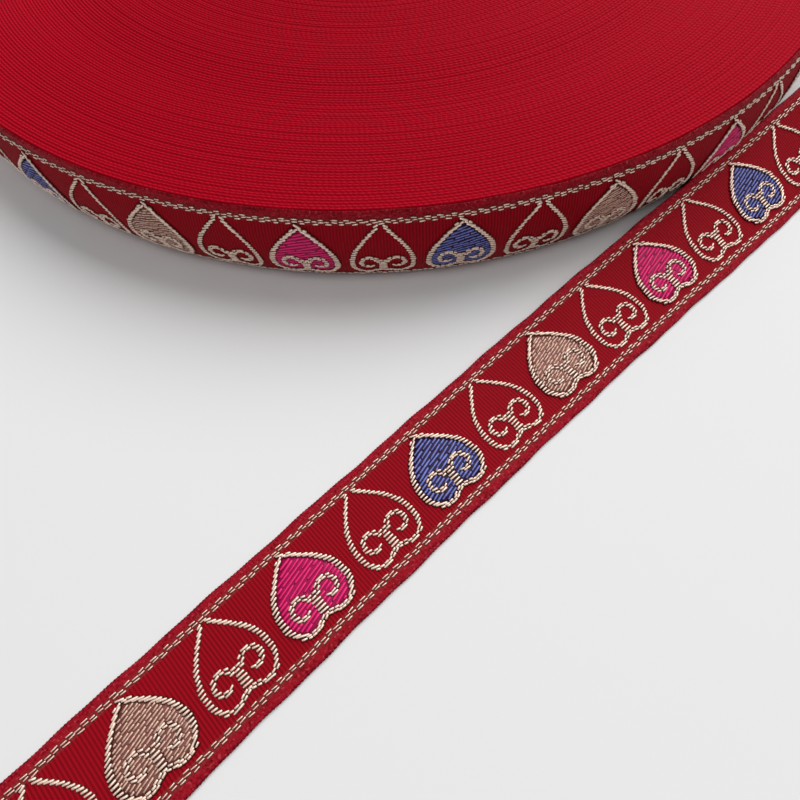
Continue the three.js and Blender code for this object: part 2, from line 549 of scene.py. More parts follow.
@dataclass(frozen=True)
class Spots:
    """Places and sizes of many yarns: arrays of one length, in millimetres and radians."""

    run: np.ndarray
    depth: np.ndarray
    length: np.ndarray
    width: np.ndarray
    height: np.ndarray
    slant: np.ndarray

    def where(self, keep: np.ndarray) -> Spots:
        """The spots that keep marks."""
        return Spots(*(value[keep] for value in self.columns()))

    def columns(self) -> tuple[np.ndarray, ...]:
        """The six arrays in order."""
        return self.run, self.depth, self.length, self.width, self.height, self.slant

    @staticmethod
    def joined(parts: list[Spots]) -> Spots:
        """One set from several."""
        return Spots(*(np.concatenate(values) for values in zip(*(part.columns() for part in parts))))

    def repeated(self, axes: np.ndarray, loose: Looseness, rng: np.random.Generator) -> Spots:
        """The set once at each axis, each yarn a little off its place and size.

        Args:
            axes: Runs of the axes.
            loose: How far the yarns may differ.
            rng: Source of the offsets.

        Returns:
            The repeated set.
        """
        shape = (len(axes), len(self.run))
        noise = rng.uniform(-1, 1, (4, *shape))
        return Spots(
            (axes[:, None] + self.run + loose.along * noise[0]).ravel(),
            (self.depth + loose.across * loose.along * noise[1]).ravel(),
            (self.length * (1 + loose.length * noise[2])).ravel(),
            (self.width * (1 + loose.width * noise[3])).ravel(),
            (self.height * (1 + loose.height * noise[0])).ravel(),
            (self.slant + loose.slant * noise[1]).ravel(),
        )


def row_runs(mask: np.ndarray, cut: np.ndarray) -> tuple[np.ndarray, np.ndarray, np.ndarray]:
    """Stretches of marked cells in each row of a chart.

    Args:
        mask: Marked cells, (rows, columns).
        cut: Cells before which a stretch is cut, of the same shape.

    Returns:
        Row, first column and last column of each stretch.
    """
    before = np.pad(mask, ((0, 0), (1, 0)))[:, :-1]
    behind = np.pad(mask, ((0, 0), (0, 1)))[:, 1:]
    cut_behind = np.pad(cut, ((0, 0), (0, 1)))[:, 1:]
    row, first = np.nonzero(mask & (~before | cut))
    _, last = np.nonzero(mask & (~behind | cut_behind))
    return row, first, last


@dataclass(frozen=True)
class HeartForm:
    """Lines of one heart with its two scrolls, right half, from its axis and the upper edge.

    The side and the lobe are cubic curves, the scroll is an arc whose radius shrinks, and the
    stem joins the scrolls to the notch. The handles of the curves are distances from the points
    that they belong to.
    """

    half_width: float
    line: float
    tip_gap: float
    tip: float = 2.5
    tip_handle: tuple = (0.55, 2.2)
    belly: float = 9.9
    belly_handles: tuple = (3.4, 1.8)
    lobe_reach: float = 2.5
    lobe: float = 12.9
    lobe_handles: tuple = (1.3, 1.1)
    notch: float = 11.95
    notch_handle: tuple = (0.9, 0.55)
    scroll_centre: tuple = (2.15, 9.8)
    scroll_radii: tuple = (1.5, 0.98)
    scroll_sweep: tuple = (math.radians(158), math.radians(-114))
    scroll_line: float = 0.5
    line_stretch: float = 0.88
    stem_top: float = 9.35
    stem_line: float = 0.82
    stem_overlap: float = 0.1
    plate_reach: float = 0.75
    scroll_points: int = 80
    stem_points: int = 30
    plate_points: int = 12

    def outline(self) -> np.ndarray:
        """Right half of the heart's outline from the tip to the notch."""
        side = cubic(
            (self.tip_gap, self.tip),
            (self.tip_handle[0] * self.half_width, self.tip + self.tip_handle[1]),
            (self.half_width, self.belly - self.belly_handles[0]),
            (self.half_width, self.belly),
        )
        lobe = cubic(
            (self.half_width, self.belly),
            (self.half_width, self.belly + self.belly_handles[1]),
            (self.lobe_reach + self.lobe_handles[0], self.lobe),
            (self.lobe_reach, self.lobe),
        )
        notch = cubic(
            (self.lobe_reach, self.lobe),
            (self.lobe_reach - self.lobe_handles[1], self.lobe),
            (self.notch_handle[0], self.notch + self.notch_handle[1]),
            (0.0, self.notch),
        )
        return np.concatenate([side, lobe[1:], notch[1:]])

    def scroll(self) -> np.ndarray:
        """Arc of the scroll from the stem, over its top and back under it."""
        share = np.linspace(0, 1, self.scroll_points)
        angle = self.scroll_sweep[0] + (self.scroll_sweep[1] - self.scroll_sweep[0]) * share
        radius = self.scroll_radii[0] + (self.scroll_radii[1] - self.scroll_radii[0]) * share
        x, depth = self.scroll_centre
        return np.stack([x + radius * np.cos(angle), depth - radius * np.sin(angle)], axis=1)

    def stem(self) -> np.ndarray:
        """Stem from the scrolls down to just past the notch."""
        bottom = self.notch + self.stem_overlap
        depth = np.linspace(self.stem_top, bottom, self.stem_points)
        return np.stack([np.zeros(self.stem_points), depth], axis=1)

    def plate(self) -> np.ndarray:
        """Short bar across the stem's head."""
        x = np.linspace(0, self.plate_reach, self.plate_points)
        return np.stack([x, np.full(self.plate_points, self.stem_top)], axis=1)

    def strokes(self) -> list[tuple[np.ndarray, float]]:
        """Each line with half its breadth."""
        return [
            (self.outline(), self.line),
            (self.scroll(), self.scroll_line),
            (self.stem(), self.stem_line),
            (self.plate(), self.scroll_line),
        ]

    def marked(self, x: np.ndarray, depth: np.ndarray, slim: float = 0.0) -> np.ndarray:
        """True where a point lies on one of the lines.

        Args:
            x: Distances from the heart's axis.
            depth: Distances from the upper edge.
            slim: How much slimmer each line is made on both sides.

        Returns:
            The mask. Distances along the ribbon are divided by line_stretch, because a level
            line is a little broader than a steep one.
        """
        here = np.stack([np.abs(x), depth], axis=-1)[..., None, :]
        scale = np.array([1 / self.line_stretch, 1.0])
        on_line = [
            np.hypot(*np.moveaxis((here - path) * scale, -1, 0)).min(-1) < half - slim
            for path, half in self.strokes()
        ]
        return np.any(on_line, axis=0)

    def follow(self, x: np.ndarray, depth: np.ndarray) -> tuple[np.ndarray, np.ndarray]:
        """How the nearest line runs past a point.

        Args:
            x: Distances from the heart's axis.
            depth: Distances from the upper edge.

        Returns:
            Sine of twice the angle at which the line climbs along the ribbon, which is 0 on a level
            or a steep line and greatest on a slanting one, and how far below it the point lies.
        """
        paths = [path for path, _ in self.strokes()]
        at = np.concatenate([(path[1:] + path[:-1]) / 2 for path in paths])
        step = np.concatenate([np.diff(path, axis=0) for path in paths])
        here = np.stack([np.abs(x), depth], axis=-1)[..., None, :]
        nearest = np.hypot(*np.moveaxis(here - at, -1, 0)).argmin(-1)
        climb = np.arctan2(-step[nearest, 1], step[nearest, 0])
        return np.sin(2 * climb) * np.sign(x), depth - at[nearest, 1]

    def inside(self, x: np.ndarray, depth: np.ndarray) -> np.ndarray:
        """True where a point lies inside the outline.

        A ray from the point straight up or down meets the half outline an odd number of times
        below it, counted on the closed right half.
        """
        path = np.concatenate([[(0.0, self.tip)], self.outline(), [(0.0, self.notch)]])
        reach = np.abs(x)[..., None]
        x0, x1 = path[:-1, 0], path[1:, 0]
        crossing = (x0 <= reach) != (x1 <= reach)
        share = (reach - x0) / np.where(x1 == x0, 1, x1 - x0)
        level = path[:-1, 1] + share * (path[1:, 1] - path[:-1, 1])
        return (crossing & (level > depth[..., None])).sum(-1) % 2 == 1


@dataclass
class HeartChart:
    """Turns a heart's lines and its inside into floats of yarn.

    Attributes:
        line_longest: Longest stretch of a row that stays one float.
        line_least: Shortest stretch that gets a float.
        line_part: Length of the floats that a longer stretch is cut into.
        line_spread: Largest distance of a float from the middle of its line.
        line_overlap: What a float reaches past its stretch.
        line_slant: Slant of a float on a line that climbs at 45 degrees.
        fill_levels: Depths between which lines of floats start on the axis.
        fill_least: Cells that a float of the fill has at least.
        fill_step: How far the ends step on from line to line, as a share of a float.
        fill_tuck: How far the fill reaches under the lines.
        bed_shares: Size of each ring of the pad as a share of the outline.
        bed_heights: Height of each ring over the pad's foot.
        bed_rise: How far the pad's middle lies above the belly.
        bed_stride: Every which point of the outline the pad takes.
    """

    form: HeartForm
    row_pitch: float
    line_width: float = 0.52
    line_height: float = 0.24
    line_longest: float = 1.95
    line_shortest: float = 0.42
    line_least: float = 0.6
    line_part: float = 0.75
    line_spread: float = 0.2
    line_overlap: float = 0.1
    line_slant: float = 0.42
    fill_height: float = 0.19
    fill_slant: float = math.radians(13)
    fill_levels: tuple = (0.5, 16.5)
    fill_least: int = 4
    fill_step: float = 0.37
    fill_tuck: float = 0.1
    fill_overlap: float = 0.12
    bed_shares: tuple = (1.0, 1.0, 0.7, 0.4, 0.12)
    bed_heights: tuple = (-0.1, 0.07, 0.09, 0.09, 0.09)
    bed_rise: float = 1.4
    bed_stride: int = 6
    fine_step: float = 0.06
    half_reach: float = 6.2
    lowest: float = 14.2

    def grid(self, level: np.ndarray, slant: float) -> tuple[np.ndarray, np.ndarray]:
        """Distances from the axis and depths along floats that cross it at levels."""
        steps = int(self.half_reach / self.fine_step)
        x, level = np.meshgrid(np.arange(-steps, steps + 1) * self.fine_step, level)
        return x, level - x * math.tan(slant)

    def line_spots(self) -> Spots:
        """Floats of the outline, the scrolls and the stem, about the heart's axis.

        A float lies where a row of the loom runs on a line of the heart. Where that stretch is
        long it is cut into equal floats. Each float leans a little along its line and is drawn
        towards its middle.
        """
        x, depth = self.grid(np.arange(0.5 * self.row_pitch, self.lowest, self.row_pitch), 0.0)
        row, first, last = row_runs(self.form.marked(x, depth), np.zeros(x.shape, bool))
        whole = (last - first + 1) * self.fine_step
        row, first, whole = (value[whole > self.line_least] for value in (row, first, whole))
        parts = np.where(whole > self.line_longest, np.ceil(whole / self.line_part), 1).astype(int)
        row, first, part = (np.repeat(value, parts) for value in (row, first, whole / parts))
        step = np.arange(len(row)) - np.repeat(np.cumsum(parts) - parts, parts)
        middle = x[0, first] + (step + 0.5) * part - self.fine_step / 2
        slope, below = self.form.follow(middle, depth[row, 0])
        full = np.ones(len(row))
        return Spots(
            middle,
            depth[row, 0] - below + np.clip(below, -self.line_spread, self.line_spread),
            np.maximum(part + self.line_overlap, self.line_shortest),
            self.line_width * full,
            self.line_height * full,
            self.line_slant * slope,
        )

    def fill_spots(self, fill: Fill) -> Spots:
        """Slanted floats between the outline and the scrolls, about the heart's axis.

        Each line of floats climbs towards the roll. It is drawn where it runs inside the outline
        and off every other line, and is cut into lengths whose ends step on from line to line.
        """
        level = np.arange(*self.fill_levels, fill.pitch / math.cos(self.fill_slant))
        x, depth = self.grid(level, self.fill_slant)
        mask = self.form.inside(x, depth) & ~self.form.marked(x, depth, self.fill_tuck)
        reach = int(fill.reach / self.fine_step)
        step_on = int(self.fill_step * reach)
        cut = (np.arange(x.shape[1]) + step_on * np.arange(len(level))[:, None]) % reach == 0
        row, first, last = row_runs(mask, cut)
        row, first, last = (value[last - first >= self.fill_least] for value in (row, first, last))
        middle = (x[0, first] + x[0, last]) / 2
        full = np.ones(len(row))
        return Spots(
            middle,
            level[row] - middle * math.tan(self.fill_slant),
            ((last - first + 1) * self.fine_step + self.fill_overlap) / math.cos(self.fill_slant),
            fill.breadth * full,
            self.fill_height * full,
            self.fill_slant * full,
        )

    def bed(self, band: RibbonBand, axes: np.ndarray, level: float, limits: tuple[float, float]) -> Shell:
        """Low closed pad under the fill of each heart, coloured with the yarn's painted shade, so the gaps
        between the floats show dark.

        Rings of the outline are drawn in towards a middle point, and a lower ring shuts the pad.

        Args:
            band: The band that the pads lie on.
            axes: Runs of the hearts' axes.
            level: Height of the pad's foot over the middle of the cloth.
            limits: Lowest and highest run, where the cloth is cut.

        Returns:
            The joined shell, with a rise of 0, which gives it the yarn's painted shade.
        """
        half = self.form.outline()[:: self.bed_stride]
        whole = np.concatenate([half, (half * [-1, 1])[::-1]])
        middle = np.array([0.0, self.form.belly - self.bed_rise])
        flat = (middle + np.array(self.bed_shares)[:, None, None] * (whole - middle)).reshape(-1, 2)
        rings, count = len(self.bed_shares), len(whole)
        run = axes[:, None] + flat[:, 0]
        depth = np.broadcast_to(flat[:, 1], run.shape)
        up = np.broadcast_to(np.repeat(level + np.array(self.bed_heights), count), run.shape)
        points = band.place(np.clip(run, *limits), depth, up)
        caps = np.stack([np.arange(count), (rings - 1) * count + np.arange(count)[::-1]])
        faces = copied([ring_quads(rings, count, turned=True), caps], len(axes), len(flat))
        # a rise of 0 gives the pads the yarn's painted shade, a dark sheet between the floats
        return Shell(points.reshape(-1, 3), faces, rise=np.zeros(len(axes) * len(flat)))


@dataclass
class Pattern:
    """Borders and hearts of one stretch of the band.

    Attributes:
        border_middles: Depths of the middles of both borders.
        border_rows: Distance from the middle, place in the period, length and width of the
            floats in each row.
        border_ribs: Ribs of the ground in one period.
        border_stray: Largest offsets along and across, and the largest slant.
        border_lengths: Least and greatest share of its length that a float has.
        border_heights: Least and greatest share of its height.
        lines_over_fill: How much higher the lines of a filled heart lie.
        line_looseness: How far the floats of the lines stray along the ribbon.
        fill_level: Height of the fill's floats over the ground.
    """

    band: RibbonBand
    weave: Weave
    start: float
    stop: float
    name: str
    border_middles: tuple = (1.72, 14.28)
    border_rows: tuple = (
        (-0.33, 0.0, 1.06, 0.31),
        (0.05, 0.06, 0.98, 0.29),
        (-0.05, 0.5, 0.98, 0.29),
        (0.33, 0.56, 1.06, 0.31),
    )
    border_ribs: int = 4
    border_height: float = 0.2
    border_stray: tuple = (0.12, 0.03, 0.12)
    border_lengths: tuple = (0.85, 1.15)
    border_heights: tuple = (0.75, 1.2)
    lines_over_fill: float = 0.12
    line_looseness: float = 0.04
    fill_level: float = 0.06
    cut_margin: float = 0.02
    plain_form: HeartForm = HeartForm(half_width=4.7, line=0.52, tip_gap=0.62)
    filled_form: HeartForm = HeartForm(half_width=5.02, line=0.6, tip_gap=0.12, tip=2.6)

    @property
    def level(self) -> float:
        """Height of the ground over the middle of the cloth."""
        return self.band.thickness / 2

    @property
    def limits(self) -> tuple[float, float]:
        """Runs where the pattern is cut off with the cloth."""
        return self.start + self.cut_margin, self.stop - self.cut_margin

    def hearts(self) -> tuple[np.ndarray, np.ndarray]:
        """Number and run of every heart that reaches into the stretch."""
        pitch = self.weave.heart_pitch(self.band)
        low = math.floor((self.start - self.weave.first_heart) / pitch)
        high = math.ceil((self.stop - self.weave.first_heart) / pitch)
        number = np.arange(low, high + 1)
        run = self.weave.first_heart + number * pitch
        at_cut = self.start == 0
        reach = (run > self.start - (0.5 * pitch if at_cut else 0)) & (run <= self.stop)
        return number[reach], run[reach]

    def chart(self, form: HeartForm) -> HeartChart:
        """Chart of a form on this weave."""
        return HeartChart(form, self.weave.row_pitch)

    def border_spots(self, rng: np.random.Generator) -> Spots:
        """Floats of both borders: pairs, one over the other, that step up and down by a row."""
        period = self.border_ribs * self.weave.rib_pitch(self.band)
        count = int((self.stop - self.start) / period) + 2
        first = math.floor(self.start / period)
        run = (first + np.arange(count)) * period
        along, across, slant = self.border_stray
        rows = []
        for middle in self.border_middles:
            for off, phase, length, width in self.border_rows:
                row = Spots(
                    run + phase * period + rng.uniform(-along, along, count),
                    middle + off + rng.uniform(-across, across, count),
                    length * rng.uniform(*self.border_lengths, count),
                    np.full(count, width),
                    self.border_height * rng.uniform(*self.border_heights, count),
                    rng.uniform(-slant, slant, count),
                )
                rows.append(row)
        return Spots.joined(rows)

    def border(self, finish: bpy.types.Material) -> bpy.types.Object:
        """Piece with the border floats."""
        rng = np.random.default_rng(SEED)
        shell = Grain.bead().laid(self.band, self.border_spots(rng), self.level, self.limits)
        return shell.piece(f"{self.name}_borders", finish, Fill.GOLD.slot)

    def lines(self, finish: bpy.types.Material) -> bpy.types.Object:
        """Piece with the outlines, scrolls and stems of all hearts."""
        rng = np.random.default_rng(SEED + 1)
        number, run = self.hearts()
        filled = number % 2 == 0
        shells = []
        for form, axes, lift in (
            (self.plain_form, run[~filled], 0.0),
            (self.filled_form, run[filled], self.lines_over_fill),
        ):
            spots = self.chart(form).line_spots().repeated(axes, Looseness(self.line_looseness), rng)
            shells.append(Grain.bead().laid(self.band, spots, self.level + lift, self.limits))
        return Shell.joined(shells).piece(f"{self.name}_heart_lines", finish, Fill.GOLD.slot)

    def fill(self, fill: Fill, finish: bpy.types.Material) -> bpy.types.Object:
        """Piece with the pads and floats of the hearts with one fill."""
        rng = np.random.default_rng(SEED + 2)
        number, run = self.hearts()
        order = list(Fill).index(fill)
        axes = run[number % (2 * len(Fill)) == 2 * order]
        chart = self.chart(self.filled_form)
        spots = chart.fill_spots(fill).repeated(axes, Looseness(fill.stray), rng)
        floats = Grain.float_yarn().laid(self.band, spots, self.level + self.fill_level, self.limits)
        pads = chart.bed(self.band, axes, self.level, self.limits)
        name = f"{self.name}_{fill.name.lower()}_fill"
        return Shell.joined([floats, pads]).piece(name, finish, fill.slot)


@dataclass
class WoundTurns:
    """All turns under the outermost one, as one spiral surface.

    A column is a section at one angle, from the outside in, with four steps for each turn:
    valley, shoulder, crest, shoulder. After one turn a column meets the first column one turn
    further in, so the two share their points there.
    """

    band: RibbonBand
    eye_radius: float = 9.0
    columns: int = 144
    steps: int = 4
    wall_rows: int = 8
    fall: tuple = (0.17, 0.04, 0.0, 0.04)
    bead_pitch: float = 0.9
    edge_waves: tuple = ((0.26, 27.0, 0.6), (0.14, 16.0, 2.1))
    unevenness: float = 0.035
    uneven_waves: tuple = ((1.0, 0.371, 0.4), (0.7, 1.713, 0.0), (0.6, 3.27, 0.0))

    @property
    def outer(self) -> float:
        """Radius of the surface's rim at the landing."""
        return float(self.band.turn_radius(1)) + self.band.turn_pitch / 2

    @property
    def turns(self) -> int:
        """Whole turns between the rim and the eye."""
        return int((self.outer - self.band.turn_pitch - self.eye_radius) / self.band.turn_pitch)

    def edge_height(self, radius: np.ndarray) -> np.ndarray:
        """Height of the turn edges: two slow waves that die out at the rim and at the eye."""
        share = np.clip((radius - self.eye_radius) / (self.band.roll_radius - self.eye_radius), 0, 1)
        return self.band.width + np.sqrt(np.sin(math.pi * share)) * wave_sum(self.edge_waves, radius)

    def lift(self, turned: np.ndarray) -> np.ndarray:
        """How far one place of the winding stands above or below its neighbours."""
        waves = (high * np.sin(TAU * rate * turned + phase) for high, rate, phase in self.uneven_waves)
        return self.unevenness * sum(waves)

    def shell(self) -> Shell:
        """Top, outer wall, eye wall and underside of the winding, as one closed body."""
        pitch, radial = self.band.turn_pitch, self.steps * self.turns
        turned = np.linspace(0, 1, self.columns + 1)[:, None]
        step = np.arange(radial + 1)[None, :]
        radius = self.outer - pitch * (turned + step / self.steps)
        phase = step % self.steps
        fall = np.array(self.fall)[phase]
        lift = np.where(phase == 0, -self.unevenness, self.lift(turned + step // self.steps))
        top = self.edge_height(radius) - fall + lift
        angle = self.band.landing_angle - self.band.solid_gap / self.band.roll_radius + TAU * turned
        cos_a, sin_a = np.cos(angle), np.sin(angle)
        axis_x, axis_y = self.band.roll_axis
        crown = np.stack([axis_x + radius * cos_a, axis_y + radius * sin_a, top], axis=-1)
        depth = np.linspace(0, self.band.width, self.wall_rows + 1)[1:]
        below = np.concatenate([radius[:, :1] + self.band.bow(depth), radius[:, -1:]], axis=1)
        down = np.broadcast_to(np.append(self.band.width - depth, 0.0), below.shape)
        side = np.stack([axis_x + below * cos_a, axis_y + below * sin_a, down], axis=-1)
        index = np.arange(radius.size).reshape(radius.shape)
        index[-1, : -self.steps] = index[0, self.steps :]
        low = radius.size + np.arange(below.size).reshape(below.shape)
        wall, feet = np.concatenate([index[:, :1], low[:, :-1]], axis=1), low[:, -2:]
        tops = np.stack([index[:-1, :-1], index[1:, :-1], index[1:, 1:], index[:-1, 1:]], axis=-1)
        walls = np.stack([wall[:-1, 1:], wall[1:, 1:], wall[1:, :-1], wall[:-1, :-1]], axis=-1)
        eye = np.stack([index[:-1, -1], index[1:, -1], feet[1:, 1], feet[:-1, 1]], axis=-1)
        under = np.stack([feet[:-1, 1], feet[1:, 1], feet[1:, 0], feet[:-1, 0]], axis=-1)
        outer_step = np.concatenate([index[0, : self.steps + 1], wall[-1, 1:], wall[0, :0:-1]])
        inner_step = np.concatenate([index[-1, -self.steps - 1 :], [feet[-1, 1], feet[0, 1]]])
        points = np.concatenate([crown.reshape(-1, 3), side.reshape(-1, 3)])
        faces = [tops.reshape(-1, 4), walls.reshape(-1, 4), eye, under]
        faces += [ring[::-1][None, :] for ring in (outer_step, inner_step)]
        used, packed = np.unique(np.concatenate([part.ravel() for part in faces]), return_inverse=True)
        ends = np.cumsum([0] + [part.size for part in faces])
        faces = [packed[a:b].reshape(part.shape) for a, b, part in zip(ends, ends[1:], faces)]
        return Shell(points[used], faces, corner_uv=self.corner_uv(faces, turned, step))

    def corner_uv(self, faces: list[np.ndarray], turned: np.ndarray, step: np.ndarray) -> list[np.ndarray]:
        """UV of every corner: beads along the ribbon, and turns in from the rim.

        The length of ribbon wound up after n turns is the ring areas' sum over the pitch,
        2 pi (r0 n - pitch n squared / 2), taken at the middle of each turn.
        """
        pitch = self.band.turn_pitch
        turn = step[:, :-1] // self.steps
        count = turned + turn
        along = TAU * (self.band.landing_radius * count - pitch * count**2 / 2) / self.bead_pitch
        near, far = step[:, :-1] / self.steps, step[:, 1:] / self.steps
        near, far = (np.broadcast_to(value, along[:-1].shape) for value in (near, far))
        u = np.stack([along[:-1], along[1:], along[1:], along[:-1]], axis=-1)
        v = np.stack([near, near, far, far], axis=-1)
        tops = np.stack([u, v], axis=-1).reshape(-1, 4, 2)
        return [tops] + [np.zeros((*part.shape, 2)) for part in faces[1:]]


class Wire:
    """A socket of a node tree. An expression on wires and numbers adds Math nodes."""

    def __init__(self, board: Board, socket: bpy.types.NodeSocket) -> None:
        """Keeps the board and the socket."""
        self.board = board
        self.socket = socket

    def __add__(self, other: Wire | float) -> Wire:
        """Sum."""
        return self.board.math("ADD", self, other)

    __radd__ = __add__

    def __sub__(self, other: Wire | float) -> Wire:
        """Difference."""
        return self.board.math("SUBTRACT", self, other)

    def __rsub__(self, other: Wire | float) -> Wire:
        """Difference from a number."""
        return self.board.math("SUBTRACT", other, self)

    def __mul__(self, other: Wire | float) -> Wire:
        """Product."""
        return self.board.math("MULTIPLY", self, other)

    __rmul__ = __mul__

    def __pow__(self, other: float) -> Wire:
        """Power."""
        return self.board.math("POWER", self, other)


class Board:
    """Node tree of one material, with a method for each kind of step."""

    def __init__(self, name: str) -> None:
        """Makes a material with an empty tree."""
        self.material = bpy.data.materials.new(name)
        self.material.use_nodes = True
        self.tree = self.material.node_tree
        self.tree.nodes.clear()

    def node(self, kind: str, settings: dict | None = None, inputs: dict | None = None) -> bpy.types.Node:
        """Adds a node.

        Args:
            kind: Blender's name of the node type.
            settings: Properties, set before the sockets.
            inputs: Values or wires by socket name or number.

        Returns:
            The node.
        """
        made = self.tree.nodes.new(kind)
        for key, value in (settings or {}).items():
            setattr(made, key, value)
        for key, value in (inputs or {}).items():
            if isinstance(value, Wire):
                self.tree.links.new(value.socket, made.inputs[key])
            else:
                made.inputs[key].default_value = value
        return made

    def wire(self, node: bpy.types.Node, output: str | int = 0) -> Wire:
        """An output of a node as a wire."""
        return Wire(self, node.outputs[output])

    def math(self, operation: str, *values: Wire | float) -> Wire:
        """A Math node on one to three values."""
        return self.wire(self.node("ShaderNodeMath", {"operation": operation}, dict(enumerate(values))))

    def cosine(self, turns: Wire) -> Wire:
        """Cosine of an angle given in turns."""
        return self.math("COSINE", turns * TAU)

    def hump(self, turns: Wire) -> Wire:
        """0 at each whole turn and 1 halfway between: half of 1 minus the cosine."""
        return 0.5 - 0.5 * self.cosine(turns)

    def uv(self) -> tuple[Wire, Wire]:
        """Both coordinates of the piece's own UV map."""
        both = self.wire(self.node("ShaderNodeUVMap", {"uv_map": "UVMap"}))
        split = self.node("ShaderNodeSeparateXYZ", None, {0: both})
        return self.wire(split, 0), self.wire(split, 1)

    def attribute(self, name: str) -> Wire:
        """A number kept on the mesh."""
        return self.wire(self.node("ShaderNodeAttribute", {"attribute_name": name}), "Fac")

    def noise(self, scale: float, detail: float = 2.0, vector: Wire | None = None) -> Wire:
        """Noise of a scale in 1/m on Object coordinates, or on a vector."""
        place = vector or self.wire(self.node("ShaderNodeTexCoord"), "Object")
        inputs = {"Vector": place, "Scale": scale, "Detail": detail}
        return self.wire(self.node("ShaderNodeTexNoise", None, inputs))

    def patches(self, x: Wire, y: Wire, cells: tuple, detail: float = 1.0, start: float = 0.0) -> Wire:
        """Noise over two numbers, with cells patches for each of their units, from a start in x."""
        place = self.node("ShaderNodeCombineXYZ", None, {0: x * cells[0] + start, 1: y * cells[1]})
        return self.noise(1.0, detail, self.wire(place))

    def ease(self, value: Wire, low: float, high: float) -> Wire:
        """0 below low, 1 above high and smooth between; falls where low is above high."""
        settings = {"interpolation_type": "SMOOTHSTEP"}
        inputs = {"Value": value, "From Min": min(low, high), "From Max": max(low, high)}
        rising = self.wire(self.node("ShaderNodeMapRange", settings, inputs))
        return rising if low < high else 1 - rising

    def mix(self, share: Wire, first: Wire | tuple, second: Wire | tuple) -> Wire:
        """Colour between two."""
        a, b = (end if isinstance(end, Wire) else (*end, 1.0) for end in (first, second))
        return self.wire(self.node("ShaderNodeMix", {"data_type": "RGBA"}, {0: share, 6: a, 7: b}), 2)

    def bump(self, height: Wire, distance: float) -> Wire:
        """Normal from a height, which is multiplied by a distance in metres."""
        inputs = {"Height": height, "Distance": distance, "Strength": 1.0}
        return self.wire(self.node("ShaderNodeBump", None, inputs))

    def surface(
        self,
        colour: Wire | tuple,
        roughness: float,
        gloss: float = 0.5,
        metallic: float = 0.0,
        normal: Wire | None = None,
    ) -> bpy.types.Material:
        """Closes the tree with a Principled shader.

        Args:
            colour: Base colour, a wire or four numbers.
            roughness: From 0 for a mirror to 1.
            gloss: Strength of its reflection, usually 0.5.
            metallic: From 0 for cloth to 1 for metal.
            normal: Its relief, or none.

        Returns:
            The material.
        """
        inputs = {
            "Base Color": colour,
            "Roughness": roughness,
            "Specular IOR Level": gloss,
            "Metallic": metallic,
        }
        if normal is not None:
            inputs["Normal"] = normal
        shader = self.node("ShaderNodeBsdfPrincipled", None, inputs)
        self.node("ShaderNodeOutputMaterial", None, {"Surface": self.wire(shader)})
        return self.material


